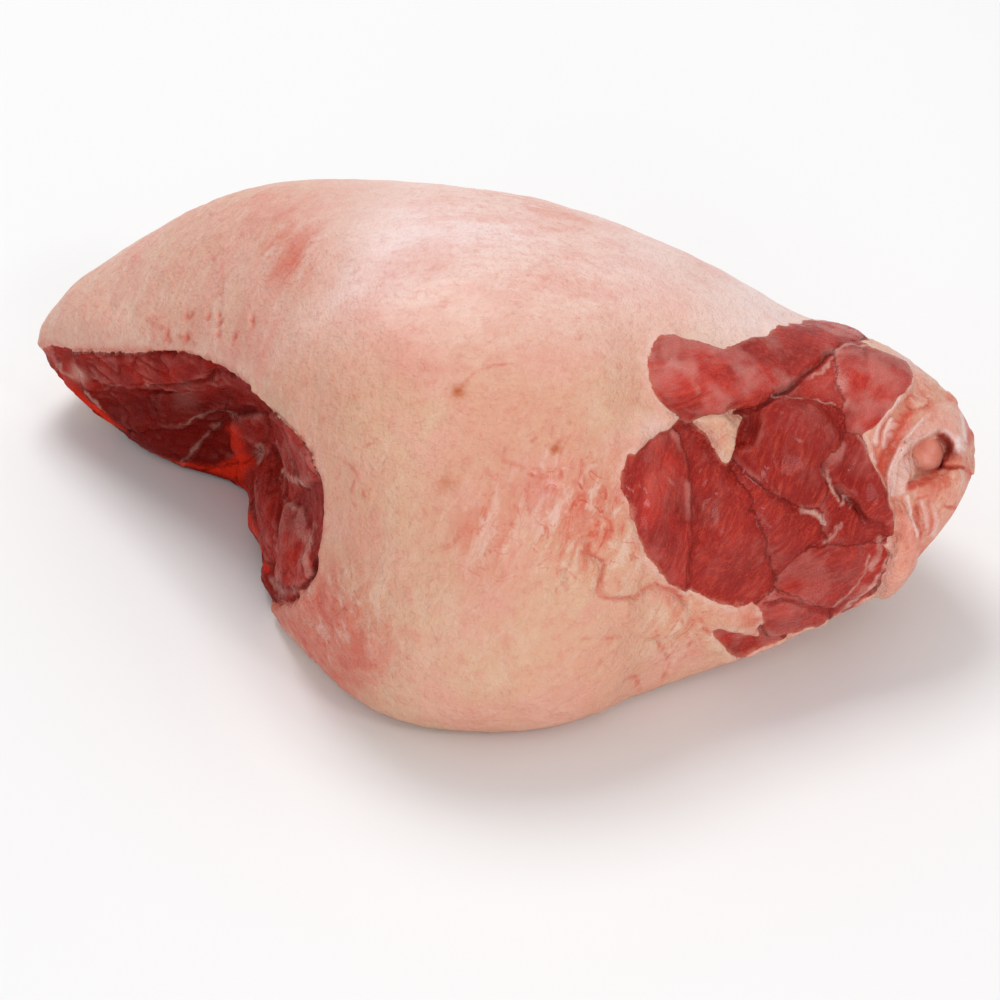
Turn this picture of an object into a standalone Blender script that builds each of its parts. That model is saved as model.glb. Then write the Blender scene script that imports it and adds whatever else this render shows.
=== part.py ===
"""Raw semi-boneless leg of lamb, modelled as one solid at its real size.

Frame: metres, +Z up, +X towards the shank end. The face where the hip bone came out looks towards -X and -Y.
The leg lies on a flat underside at Z = 0, and the origin is the bottom centre of its bounding box.
The tables below are in millimetres, in a drawing frame whose origin main() moves to that bottom centre.
"""

import math

import bmesh
import bpy
import numpy as np
from mathutils import Matrix, Vector

MM = 0.001

# The fat-covered body. Each outline is (x, value), read along the leg from the sirloin tip to the knee.
PLAN_FRONT = [(-159, 78), (-148, 58), (-104, 12), (-66, -50), (-47, -76), (-13, -91), (20, -87), (41, -76),
              (101, -48), (142, -17), (149, -5)]
PLAN_BACK = [(-159, 88), (-148, 104), (-104, 120), (-47, 105), (20, 88), (69, 65), (117, 34), (142, 12), (149, 0)]
RIDGE = [(-159, 34), (-148, 49), (-126, 67), (-104, 86), (-66, 113), (-13, 124), (41, 113), (101, 85), (117, 83),
         (130, 75), (142, 67), (149, 56)]
BELLY = [(-159, 22), (-148, 9), (-120, -2), (74, -2), (101, 6), (120, 14), (132, 27), (142, 41), (149, 53)]
WAIST = [(-159, 27), (-148, 25), (-104, 32), (-47, 46), (41, 45), (101, 46), (142, 52), (149, 53)]
STATIONS = 72
SECTION_POINTS = 64
TOP_SQUARENESS = 1.0
BASE_SQUARENESS = 0.62

# Where the fat is trimmed off the front of the shank end: the share of each section's reach that is gone, and where
# the trimming starts, is full, begins to end and stops, along the leg and round the section.
TRIM_SHARE = 0.09
TRIM_ALONG = (28, 42, 108, 122)
TRIM_ROUND = (math.radians(94), math.radians(116), math.radians(202), math.radians(224))

# The cut face: the lower edge of the fat cover (x, y, z), the foot of the red face (x, y) below each of its points,
# and how deep the face is hollowed between the two.
RIM = [(-190, 118, 12), (-160, 84, 28), (-148, 70, 38), (-125, 47, 54), (-104, 25, 68), (-84, -6, 79),
       (-67, -33, 84), (-58, -53, 76), (-57, -60, 58), (-63, -54, 36), (-77, -34, 14)]
FOOT = [(-190, 118), (-160, 86), (-150, 78), (-128, 64), (-104, 48), (-88, 40),
        (-84, 22), (-81, 4), (-78, -12), (-77, -24), (-78, -34)]
HOLLOW = [0, 0, 3, 8, 12, 14, 10, 5, 0, 0, 0]
FACE_STEPS = 48
FACE_LEVELS = (-12, *range(0, 92, 7), 140)
BEYOND = [(-200, -120), (-220, 120)]

# Muscles and fat that swell out of the surface. Each has a path over the surface, a half width, a half depth, how far
# it stands proud of the path, and how much thinner its last end is than its first.
SHANK_END = {
    "heel": ([(46, -37, 102), (67, -24, 96), (95, 6, 86)], 12.5, 11, 2, 0.25),
    "outer_round": ([(39, -54, 94), (37, -68, 78), (44, -75, 54)], 9.5, 9, 1, 0.0),
    "inner_round": ([(51, -46, 92), (60, -60, 71), (65, -66, 44)], 9.5, 9, 0, 0.0),
    "broad_thigh": ([(74, -30, 90), (84, -39, 79), (93, -47, 62)], 14.5, 11, 2, 0.15),
    "middle_thigh": ([(69, -46, 80), (76, -57, 61), (85, -57, 42)], 9, 8, 0.5, 0.0),
    "low_thigh": ([(88, -54, 51), (99, -48, 40), (107, -41, 27)], 11, 9, 1, 0.2),
    "nub": ([(77, -59, 31), (86, -54, 27), (95, -47, 21)], 7, 7, 1, 0.0),
    "shank_flap": ([(101, -28, 76), (109, -37, 63), (113, -42, 46)], 7.5, 8, 3.5, -0.1),
    "cap": ([(101, 0, 83), (111, -8, 81), (116, -20, 76)], 12.5, 9, 1, 0.1),
    "tendon": ([(122, -36, 54), (118, -40, 38), (113, -40, 22)], 6.5, 7, 2.5, 0.0),
    "knee_back": ([(122, 6, 77), (138, 0, 72), (146, -6, 58)], 12, 9, 0.5, 0.3),
    "knee_foot": ([(128, -34, 46), (137, -24, 42), (142, -14, 44)], 8, 8, 0.5, 0.0),
}
CUT_FACE = {
    "rim_muscle": ([(-142, 70, 30), (-120, 49, 48), (-92, 23, 61)], 8, 7, 3.5, -0.1),
    "flap_belly": ([(-132, 66, 9), (-116, 56, 10), (-98, 48, 9)], 9, 7, 3, 0.0),
    "flap_fold": ([(-122, 58, 25), (-108, 50, 26), (-95, 45, 22)], 6, 6, 3, 0.0),
    "bone_end": ([(-90, 42, 28), (-84, 36, 36), (-80, 24, 38)], 9, 8, 4.5, 0.0),
    "wall_upper": ([(-74, 18, 42), (-66, -8, 53), (-62, -34, 60)], 8, 7, 3, 0.1),
    "wall_long": ([(-82, 24, 24), (-74, -8, 24), (-70, -34, 20)], 11, 8, 3, 0.2),
    "wall_front": ([(-67, -8, 44), (-65, -26, 40), (-68, -40, 24)], 7, 7, 4, 0.0),
    "wall_foot": ([(-85, 26, 7), (-79, 4, 6), (-78, -22, 6)], 8, 5, 2, 0.1),
}
RUMP_HEART = (-60, 55, 30)
MUSCLE_RINGS = 20
MUSCLE_POINTS = 24

# The knee joint: a ring of gristle round an open socket, and the way it faces.
KNEE = (128, -25, 67)
KNEE_FACES = (0.53, -0.69, 0.5)
KNEE_RING_R = 11
KNEE_TUBE_R = 4
SOCKET_SIZE = (9.5, 8.5, 9)

VOXEL = 2.2
SMOOTHINGS = 4
TRIANGLES = 8600

FAT = (0.74, 0.43, 0.33)
FAT_ROUGHNESS = 0.42


def through(points, x):
    """A smooth curve through the points, read at x: cubic Hermite, with slopes from differences."""
    px = np.array([p[0] for p in points], float)
    py = np.array([p[1] for p in points], float)
    slope = np.gradient(py, px)
    i = np.clip(np.searchsorted(px, x) - 1, 0, len(px) - 2)
    step = px[i + 1] - px[i]
    t = (x - px[i]) / step
    return (
        (2 * t**3 - 3 * t**2 + 1) * py[i]
        + (t**3 - 2 * t**2 + t) * step * slope[i]
        + (3 * t**2 - 2 * t**3) * py[i + 1]
        + (t**3 - t**2) * step * slope[i + 1]
    )


def along(points, s):
    """A point on the smooth curve through the points, which s counts."""
    return Vector([through(list(enumerate(axis)), s) for axis in zip(*points)])


def ramp(value, start, end):
    """0 before start, 1 after end, and smooth between."""
    t = min(max((value - start) / (end - start), 0.0), 1.0)
    return t * t * (3 - 2 * t)


def window(value, start, full, ending, end):
    return ramp(value, start, full) * (1 - ramp(value, ending, end))


def spine(x):
    """The middle of the body at station x."""
    return Vector((x, (through(PLAN_FRONT, x) + through(PLAN_BACK, x)) / 2, through(WAIST, x)))


def section_point(x, turn):
    """A point of the body's outline at station x, at the angle turn round the section."""
    middle = spine(x)
    half_width = (through(PLAN_BACK, x) - through(PLAN_FRONT, x)) / 2
    across, up = math.cos(turn), math.sin(turn)
    power = TOP_SQUARENESS if up >= 0 else BASE_SQUARENESS
    reach = through(RIDGE, x) - middle.z if up >= 0 else middle.z - through(BELLY, x)
    kept = 1 - TRIM_SHARE * window(x, *TRIM_ALONG) * window(turn, *TRIM_ROUND)
    y = middle.y + kept * half_width * math.copysign(abs(across) ** power, across)
    z = middle.z + kept * reach * math.copysign(abs(up) ** power, up)
    return Vector((x, y, z))


def add_loft(bm, rings):
    """A closed skin through rings of points, with a face over each end."""
    made = [[bm.verts.new(point * MM) for point in ring] for ring in rings]
    faces = [bm.faces.new(reversed(made[0])), bm.faces.new(made[-1])]
    for a, b in zip(made, made[1:]):
        for j in range(len(a)):
            k = (j + 1) % len(a)
            faces.append(bm.faces.new((a[j], a[k], b[k], b[j])))
    bmesh.ops.recalc_face_normals(bm, faces=faces)


def new_object(name, bm, collection):
    mesh = bpy.data.meshes.new(name)
    bm.to_mesh(mesh)
    bm.free()
    obj = bpy.data.objects.new(name, mesh)
    collection.objects.link(obj)
    return obj


def body_rings():
    """The whole leg before the cut, with stations closer together towards its ends."""
    first, last = RIDGE[0][0], RIDGE[-1][0]
    rings = []
    for i in range(STATIONS):
        x = first + (last - first) * (0.5 - 0.5 * math.cos(math.pi * (i + 0.5) / STATIONS))
        rings.append([section_point(x, 2 * math.pi * j / SECTION_POINTS) for j in range(SECTION_POINTS)])
    return rings


def face_rings():
    """What the butcher took off at the front left: a curtain from the foot up to the rim, hollowed between."""
    rings = []
    for z in FACE_LEVELS:
        ring = []
        for i in range(FACE_STEPS + 1):
            s = (len(RIM) - 1) * i / FACE_STEPS
            rim, foot, depth = along(RIM, s), along(FOOT, s), through(list(enumerate(HOLLOW)), s)
            rise = min(max(z / rim.z, 0.0), 1.0)
            inward = Vector((1, 1)).normalized() * depth * math.sin(math.pi * rise)
            plan = foot.lerp(rim.xy, rise) + inward
            ring.append(Vector((*plan, z)))
        ring += [Vector((*corner, z)) for corner in BEYOND]
        rings.append(ring)
    return rings


def muscle_rings(muscle, heart):
    """A bundle along its path, rounded at both ends, that swells away from the heart."""
    path, half_width, half_depth, proud, taper = muscle
    rings = []
    for i in range(MUSCLE_RINGS):
        turn = math.pi * (i + 0.5) / MUSCLE_RINGS
        s = (len(path) - 1) * (0.5 - 0.5 * math.cos(turn))
        on_path = along(path, s)
        ahead = (along(path, s + 0.05) - along(path, s - 0.05)).normalized()
        out = on_path - heart(on_path.x)
        out = (out - out.dot(ahead) * ahead).normalized()
        side = ahead.cross(out)
        swell = math.sin(turn) * (1 + taper * math.cos(turn))
        centre = on_path + out * (proud - half_depth)
        rings.append([])
        for j in range(MUSCLE_POINTS):
            roll = 2 * math.pi * j / MUSCLE_POINTS
            across = side * half_width * math.cos(roll) + out * half_depth * math.sin(roll)
            rings[-1].append(centre + across * swell)
    return rings


def knee_frame():
    """A matrix at the knee whose Z is the way it faces."""
    turn = Vector(KNEE_FACES).to_track_quat("Z", "Y").to_matrix().to_4x4()
    return Matrix.Translation(Vector(KNEE) * MM) @ turn


def make_knee_ring(collection):
    bpy.ops.mesh.primitive_torus_add(major_radius=KNEE_RING_R * MM, minor_radius=KNEE_TUBE_R * MM)
    ring = bpy.context.object
    ring.data.transform(knee_frame())
    bm = bmesh.new()
    bm.from_mesh(ring.data)
    bpy.data.objects.remove(ring)
    return new_object("knee_ring", bm, collection)


def make_socket_cutter(collection):
    bm = bmesh.new()
    size = Matrix.Diagonal((*(half * MM for half in SOCKET_SIZE), 1))
    bmesh.ops.create_uvsphere(bm, u_segments=32, v_segments=20, radius=1, matrix=knee_frame() @ size)
    return as_cutter(new_object("socket_cutter", bm, collection))


def as_cutter(obj):
    obj.hide_render = True
    obj.display_type = "WIRE"
    return obj


def make_loft(name, rings, collection):
    bm = bmesh.new()
    add_loft(bm, rings)
    return new_object(name, bm, collection)


def apply_modifier(obj, kind, **settings):
    """Puts the object's mesh through one modifier."""
    modifier = obj.modifiers.new(kind.title(), kind)
    for name, value in settings.items():
        setattr(modifier, name, value)
    graph = bpy.context.evaluated_depsgraph_get()
    made = bpy.data.meshes.new_from_object(obj.evaluated_get(graph))
    obj.modifiers.clear()
    obj.data = made


def join_into(obj, other):
    """Adds the other object's mesh to this one's, where the remesh will make one skin of both."""
    bm = bmesh.new()
    bm.from_mesh(obj.data)
    bm.from_mesh(other.data)
    bm.to_mesh(obj.data)
    bm.free()
    bpy.data.objects.remove(other)


def flatten_base(mesh):
    """Cuts the mesh level at Z = 0, closes it there, and moves the origin to the bottom centre."""
    bm = bmesh.new()
    bm.from_mesh(mesh)
    everything = bm.verts[:] + bm.edges[:] + bm.faces[:]
    cut = bmesh.ops.bisect_plane(bm, geom=everything, plane_co=(0, 0, 0), plane_no=(0, 0, -1), clear_outer=True)
    edges = [item for item in cut["geom_cut"] if isinstance(item, bmesh.types.BMEdge)]
    bmesh.ops.edgeloop_fill(bm, edges=edges)
    bmesh.ops.triangulate(bm, faces=bm.faces)
    bmesh.ops.recalc_face_normals(bm, faces=bm.faces)
    points = np.array([v.co for v in bm.verts])
    middle = (points.min(axis=0) + points.max(axis=0)) / 2
    bmesh.ops.translate(bm, verts=bm.verts, vec=(-middle[0], -middle[1], 0))
    bm.to_mesh(mesh)
    bm.free()
    print("the drawing frame's origin is now at", [round(-c / MM, 2) for c in middle[:2]])


def make_material():
    material = bpy.data.materials.new("lamb_fat")
    material.use_nodes = True
    shader = material.node_tree.nodes["Principled BSDF"]
    shader.inputs["Base Color"].default_value = (*FAT, 1)
    shader.inputs["Roughness"].default_value = FAT_ROUGHNESS
    shader.inputs["Metallic"].default_value = 0
    return material


def make_collection(name):
    collection = bpy.data.collections.new(name)
    bpy.context.scene.collection.children.link(collection)
    return collection


def main():
    for obj in list(bpy.data.objects):
        bpy.data.objects.remove(obj)
    parts = make_collection("leg_of_lamb")
    cutters = make_collection("cutters")

    leg = make_loft("leg", body_rings(), parts)
    face = as_cutter(make_loft("face_cutter", face_rings(), cutters))
    apply_modifier(leg, "BOOLEAN", operation="DIFFERENCE", object=face)
    for name, muscle in SHANK_END.items():
        join_into(leg, make_loft(name, muscle_rings(muscle, spine), parts))
    for name, muscle in CUT_FACE.items():
        join_into(leg, make_loft(name, muscle_rings(muscle, lambda x: Vector(RUMP_HEART)), parts))
    join_into(leg, make_knee_ring(parts))

    apply_modifier(leg, "REMESH", mode="VOXEL", voxel_size=VOXEL * MM)
    socket = make_socket_cutter(cutters)
    apply_modifier(leg, "BOOLEAN", operation="DIFFERENCE", object=socket)
    apply_modifier(leg, "SMOOTH", factor=0.5, iterations=SMOOTHINGS)
    apply_modifier(leg, "TRIANGULATE")
    apply_modifier(leg, "DECIMATE", ratio=TRIANGLES / len(leg.data.polygons))
    flatten_base(leg.data)
    leg.data.name = "leg"
    leg.data.shade_smooth()
    leg.data.materials.append(make_material())


main()
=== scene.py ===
import math
import bmesh
import bpy
import numpy as np
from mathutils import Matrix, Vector
from mathutils.bvhtree import BVHTree
from mathutils.kdtree import KDTree


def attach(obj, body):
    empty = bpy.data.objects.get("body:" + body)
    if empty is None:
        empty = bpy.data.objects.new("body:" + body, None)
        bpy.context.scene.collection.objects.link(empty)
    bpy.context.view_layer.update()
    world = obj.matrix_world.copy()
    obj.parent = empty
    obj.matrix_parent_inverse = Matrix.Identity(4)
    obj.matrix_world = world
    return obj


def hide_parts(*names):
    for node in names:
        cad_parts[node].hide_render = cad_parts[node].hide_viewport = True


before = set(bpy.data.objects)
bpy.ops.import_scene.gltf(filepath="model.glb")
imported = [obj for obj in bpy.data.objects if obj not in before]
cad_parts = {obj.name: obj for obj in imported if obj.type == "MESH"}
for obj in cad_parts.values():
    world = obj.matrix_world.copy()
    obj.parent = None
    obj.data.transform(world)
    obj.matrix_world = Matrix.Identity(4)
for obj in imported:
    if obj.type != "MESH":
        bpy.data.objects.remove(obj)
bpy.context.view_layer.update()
scene = bpy.context.scene
mm = 0.001
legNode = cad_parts["leg"]

# The front sheet: mm to the right and up from the aim, as the leg is seen from this eye.
view = {"tilt": 38.0, "distance": 1150.0, "width": 315.8, "aim": (1.9, -14.3, 29.7)}
tilt = math.radians(view["tilt"])
aim = np.array(view["aim"])
sheetRight = np.array([1.0, 0.0, 0.0])
sheetUp = np.array([0.0, math.sin(tilt), math.cos(tilt)])
sheetBack = np.array([0.0, -math.cos(tilt), math.sin(tilt)])
eye = aim + sheetBack * view["distance"]


def smoothStep(value, start, end):  # 0 before start, 1 after end
    t = np.clip((value - start) / (end - start), 0, 1)
    return t * t * (3 - 2 * t)


def fade(value, name):
    return smoothStep(value, *fades[name])


def hermite(a, b, slopeA, slopeB, t):  # smooth step from a to b with a slope at each end
    ends = (2 * t**3 - 3 * t**2 + 1) * a + (3 * t**2 - 2 * t**3) * b
    return ends + (t**3 - 2 * t**2 + t) * slopeA + (t**3 - t**2) * slopeB


def curveAt(route, s):  # smooth curve through the route's points, s from 0 to 1
    p = np.array(route, float)
    slope = np.gradient(p, axis=0)
    u = np.clip(np.atleast_1d(s), 0, 1) * (len(p) - 1)
    i = np.minimum(u.astype(int), len(p) - 2)
    t = (u - i).reshape((-1,) + (1,) * (p.ndim - 1))
    return hermite(p[i], p[i + 1], slope[i], slope[i + 1], t)


def closedCurve(outline, steps=8):  # smooth closed curve through an outline's points
    p = np.array(outline, float)
    after = np.roll(p, -1, 0)
    slope = (after - np.roll(p, 1, 0)) / 2
    t = (np.arange(steps) / steps)[None, :, None]
    nextSlope = np.roll(slope, -1, 0)
    return hermite(p[:, None], after[:, None], slope[:, None], nextSlope[:, None], t).reshape(-1, 2)


def unit(v):
    return v / np.maximum(np.linalg.norm(v, axis=-1, keepdims=True), 1e-9)


def onSheet(at):  # where a point shows on the front sheet
    rel = at - aim
    scale = view["distance"] / (view["distance"] - rel @ sheetBack)
    return np.stack([rel @ sheetRight * scale, rel @ sheetUp * scale], -1)


def insideBy(outline, spots):  # mm from each spot to the outline, positive inside
    start = closedCurve(outline)
    end = np.roll(start, -1, 0)
    run = end - start
    found = np.full(len(spots), -99.0)
    low, high = start.min(0) - 8, start.max(0) + 8
    near = np.flatnonzero(((spots > low) & (spots < high)).all(1))
    for part in np.array_split(near, max(1, len(near) // 8000)):
        x, y = spots[part, 0][:, None], spots[part, 1][:, None]
        t = ((x - start[:, 0]) * run[:, 0] + (y - start[:, 1]) * run[:, 1]) / (run**2).sum(1)
        t = np.clip(t, 0, 1)
        gap = np.hypot(x - start[:, 0] - t * run[:, 0], y - start[:, 1] - t * run[:, 1]).min(1)
        spans = (start[:, 1] > y) != (end[:, 1] > y)
        across = start[:, 0] + run[:, 0] * (y - start[:, 1]) / np.where(run[:, 1] == 0, 1e-9, run[:, 1])
        inside = (spans & (x < across)).sum(1) % 2 == 1
        found[part] = np.where(inside, gap, -gap)
    return found


def lumps(at, size, seed):  # smooth noise from -1 to 1, size is one lump in mm
    p = at / np.array(size, float)
    cell = np.floor(p).astype(np.int64)
    f = p - cell
    f = f * f * (3 - 2 * f)
    total = np.zeros(len(p))
    for corner in range(8):
        step = np.array([corner & 1, corner >> 1 & 1, corner >> 2 & 1])
        c = cell + step
        h = (c[:, 0] * 73856093 ^ c[:, 1] * 19349663 ^ c[:, 2] * 83492791 ^ seed * 26544357) & 0x7FFFFFFF
        h = ((h ^ (h >> 13)) * 1274126177) & 0x7FFFFFFF
        h = ((h ^ (h >> 15)) * 2246822519) & 0x7FFFFFFF
        total += np.prod(np.where(step, f, 1 - f), axis=1) * ((h >> 7) % 65536 / 32768 - 1)
    return total


def layered(at, size, seed, octaves=3):  # the same, with finer lumps laid over the coarse ones
    size = np.array(size, float)
    parts = [lumps(at, size / 2**k, seed + 31 * k) / 2**k for k in range(octaves)]
    return sum(parts) / 1.6


def points(mesh):  # the mesh's points in mm
    found = np.empty(len(mesh.vertices) * 3)
    mesh.vertices.foreach_get("co", found)
    return found.reshape(-1, 3) / mm


def normals(mesh):
    found = np.empty(len(mesh.vertices) * 3)
    mesh.vertex_normals.foreach_get("vector", found)
    return found.reshape(-1, 3)


def setPoints(mesh, moved):
    mesh.vertices.foreach_set("co", (moved * mm).ravel())
    mesh.update()


def setMask(mesh, name, values):
    mesh.attributes.new(name, "FLOAT", "POINT").data.foreach_set("value", np.asarray(values, np.float32))


def setVector(mesh, name, values):
    flat = np.asarray(values, np.float32).ravel()
    mesh.attributes.new(name, "FLOAT_VECTOR", "POINT").data.foreach_set("vector", flat)


def swell(mesh, amounts):  # moves every point along its normal, in mm
    setPoints(mesh, points(mesh) + normals(mesh) * np.asarray(amounts)[:, None])


def evened(mesh, values, times, share=1.0):  # values averaged with their neighbours'
    pairs = np.empty(len(mesh.edges) * 2, np.int32)
    mesh.edges.foreach_get("vertices", pairs)
    a, b = pairs.reshape(-1, 2).T
    count = len(mesh.vertices)
    around = np.maximum(np.bincount(a, minlength=count) + np.bincount(b, minlength=count), 1)
    columns = [column.copy() for column in np.atleast_2d(np.asarray(values, float).T)]
    for column in columns:
        for _ in range(times):
            total = np.bincount(a, column[b], count) + np.bincount(b, column[a], count)
            column += share * 0.5 * (total / around - column)
    return np.array(columns).T if np.ndim(values) > 1 else columns[0]


def newPiece(name, mesh, material):
    piece = bpy.data.objects.new(name, mesh)
    scene.collection.objects.link(piece)
    mesh.name = name
    mesh.shade_smooth()
    mesh.materials.clear()
    mesh.materials.append(material)
    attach(piece, "root")
    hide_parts("leg")
    return piece


def gridMesh(rings):  # a closed skin round an array of rings, with a point at each end
    count, around = rings.shape[:2]
    ends = rings[[0, -1]].mean(axis=1)
    verts = np.concatenate([rings.reshape(-1, 3), ends])
    i, j = np.meshgrid(np.arange(count - 1), np.arange(around), indexing="ij")
    k = (j + 1) % around
    corners = (i * around + j, i * around + k, (i + 1) * around + k, (i + 1) * around + j)
    quads = np.stack(corners, -1).reshape(-1, 4)
    first, last, base = len(verts) - 2, len(verts) - 1, (count - 1) * around
    caps = [(first, (a + 1) % around, a) for a in range(around)]
    caps += [(last, base + a, base + (a + 1) % around) for a in range(around)]
    mesh = bpy.data.meshes.new("skin")
    mesh.from_pydata((verts * mm).tolist(), [], quads.tolist() + caps)
    mesh.update()
    return mesh


def node(tree, kind, inputs=None, **settings):
    made = tree.nodes.new("ShaderNode" + kind)
    for key, value in settings.items():
        setattr(made, key, value)
    for key, value in (inputs or {}).items():
        if isinstance(value, bpy.types.NodeSocket):
            tree.links.new(value, made.inputs[key])
        else:
            made.inputs[key].default_value = value
    return made


def startMaterial(name):
    material = bpy.data.materials.new(name)
    material.use_nodes = True
    tree = material.node_tree
    return material, tree, tree.nodes["Principled BSDF"]


def attribute(tree, name, socket="Fac"):
    return node(tree, "Attribute", attribute_name=name).outputs[socket]


def grainNoise(tree, vector, scale, detail=3.0, rough=0.55, bend=0.0, stretch=None):
    if stretch:
        vector = node(tree, "VectorMath", {0: vector, 1: stretch}, operation="MULTIPLY").outputs[0]
    inputs = {"Vector": vector, "Scale": scale, "Detail": detail, "Roughness": rough, "Distortion": bend}
    return node(tree, "TexNoise", inputs).outputs["Fac"]


def remap(tree, value, start, end, low=0.0, high=1.0):
    inputs = {"Value": value, "From Min": start, "From Max": end, "To Min": low, "To Max": high}
    return node(tree, "MapRange", inputs).outputs["Result"]


def maths(tree, operation, a, b=0.0):
    return node(tree, "Math", {0: a, 1: b}, operation=operation).outputs[0]


def blendColour(tree, share, a, b, how="MIX"):
    made = node(tree, "Mix", data_type="RGBA", blend_type=how)
    for index, value in ((0, share), (6, a), (7, b)):
        if isinstance(value, bpy.types.NodeSocket):
            tree.links.new(value, made.inputs[index])
        elif index:
            made.inputs[index].default_value = (*value, 1)
        else:
            made.inputs[index].default_value = value
    return made.outputs[2]


def bumpMap(tree, shader, height, distance, strength=1.0):
    bump = node(tree, "Bump", {"Height": height, "Distance": distance, "Strength": strength})
    tree.links.new(bump.outputs[0], shader.inputs["Normal"])


fatColours = {
    "pinkWhite": (0.86, 0.67, 0.64),
    "cream": (0.82, 0.58, 0.51),
    "salmon": (0.73, 0.36, 0.30),
    "warm": (0.66, 0.35, 0.235),
    "tan": (0.66, 0.41, 0.27),
    "rosy": (0.65, 0.19, 0.12),
    "blush": (0.60, 0.18, 0.13),
    "raw": (0.56, 0.085, 0.050),
    "silver": (0.85, 0.68, 0.65),
    "fibre": (0.86, 0.69, 0.64),
    "spot": (0.46, 0.10, 0.025),
    "gristle": (0.76, 0.33, 0.245),
}
leanColours = {
    "bright": (0.58, 0.036, 0.024),
    # deep: the muscle's deep red, also painted shade at muscle edges, under higher muscles and in the knee's
    # crevice
    "deep": (0.30, 0.012, 0.008),
    # dark: painted shade in hollows, clefts and the hip's inner part, and the hip's darker mottling
    "dark": (0.085, 0.002, 0.001),
    "ember": (0.66, 0.075, 0.035),
    # juice, bright with a painted reflection
    "juiceSheen": (0.80, 0.032, 0.010),
    # film: the pale membrane, also the colour of painted highlights on crests and on the edges of higher
    # muscles
    "film": (0.63, 0.21, 0.175),
    "sinew": (0.82, 0.50, 0.41),
}
gloss = {
    "skin": {"Roughness": 0.42, "Coat Weight": 0.12, "Coat Roughness": 0.12, "Specular IOR Level": 0.12},
    "hip": {"Roughness": 0.50, "Coat Weight": 0.04, "Coat Roughness": 0.12, "Specular IOR Level": 0.02},
    "gristle": {"Roughness": 0.34, "Coat Weight": 0.12, "Coat Roughness": 0.15, "Specular IOR Level": 0.15},
}


def setGloss(shader, name):
    for socket, value in gloss[name].items():
        shader.inputs[socket].default_value = value


def product(tree, *values):
    total = values[0]
    for value in values[1:]:
        total = maths(tree, "MULTIPLY", total, value)
    return total


fatLayers = [  # masks, noise, where the noise starts and ends, the shares there, colour
    ((), "patch", (0.48, 0.66, 0, 0.40), "salmon"),
    (("streaky",), "wide", (0.50, 0.66, 0, 0.50), "salmon"),
    (("streaky",), "thin", (0.50, 0.36, 0, 0.24), "fibre"),
    (("streaky",), "thin", (0.54, 0.68, 0, 0.22), "salmon"),
    ((), "fine", (0.52, 0.68, 0, 0.28), "blush"),
    ((), "speckle", (0.54, 0.68, 0, 0.35), "salmon"),
    (("blush",), "wide", (0.38, 0.64, 0.30, 1), "blush"),
    (("rosy",), "mottle", (0.44, 0.56, 0.20, 0.95), "rosy"),
    (("rosy",), "mottle", (0.47, 0.38, 0, 0.40), "fibre"),
    (("rosy", "rosy"), "mottle", (0.545, 0.61, 0, 0.90), "raw"),
]
fatMarks = [  # the same, laid over the threads
    (("gristle",), "patch", (0.3, 0.6, 0.8, 0.4), "gristle"),
    (("raw",), "fine", (0.34, 0.56, 0.55, 1), "raw"),
    (("silver",), "fine", (0.35, 0.60, 0.55, 1), "silver"),
    (("vein",), "fine", (0.36, 0.58, 0.1, 0.9), "raw"),
    # painted shade in hollows and clefts, laid on the fat in raw red
    (("crease",), "fine", (0.35, 0.60, 0.5, 1), "raw"),
    # painted shade in the knee's crevice
    (("creviceShade",), None, None, "deep"),
    (("spot",), "fine", (0.35, 0.55, 0.5, 1), "spot"),
]
leanLayers = [
    # each muscle's deep red, with painted shade at its edges and under higher muscles
    (("deep",), None, None, "deep"),
    ((), "streak", (0.45, 0.70, 0, 0.50), "deep"),
    ((), "grainy", (0.50, 0.70, 0, 0.45), "deep"),
    (("milky",), "streak", (0.50, 0.36, 0, 0.35), "ember"),
    (("milky",), "grainy", (0.44, 0.30, 0, 0.14), "film"),
    # film, with painted highlight on the edges of higher muscles
    (("film",), "haze", (0.42, 0.64, 0.05, 1), "film"),
    # painted highlight on crests, in the film colour
    (("crest",), "haze", (0.46, 0.62, 0.05, 0.30), "film"),
    (("hip",), "grainy", (0.46, 0.60, 0, 0.35), "dark"),
    # painted shade in the hollows and clefts of the cut faces
    (("crease",), "haze", (0.36, 0.58, 0.45, 1), "dark"),
    (("shade",), None, None, "dark"),
    # juice with a painted reflection along the hip's edges and foot
    (("juiceSheen",), None, None, "juiceSheen"),
    (("sinew",), "grainy", (0.35, 0.60, 0.45, 1), "sinew"),
]


def laidOver(tree, colour, layers, grains, colours):  # a table's colours over each other, in order
    for masks, grain, reach, name in layers:
        shares = [attribute(tree, mask) for mask in masks]
        if grain:
            shares.append(remap(tree, grains[grain], *reach))
        colour = blendColour(tree, product(tree, *shares), colour, colours[name])
    return colour


def leanColour(tree, grain):  # red muscle, streaked along its grain
    tone = remap(tree, attribute(tree, "tone"), 0.40, 0.66)
    colour = blendColour(tree, tone, leanColours["bright"], leanColours["deep"])
    grains = {
        "haze": attribute(tree, "haze"),
        "streak": grainNoise(tree, grain, 0.9, 3, 0.6, stretch=(0.12, 1.0, 1.0)),
        "grainy": grainNoise(tree, grain, 2.6, 4, 0.7, stretch=(0.35, 1.0, 1.0)),
    }
    return laidOver(tree, colour, leanLayers, grains, leanColours)


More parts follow.
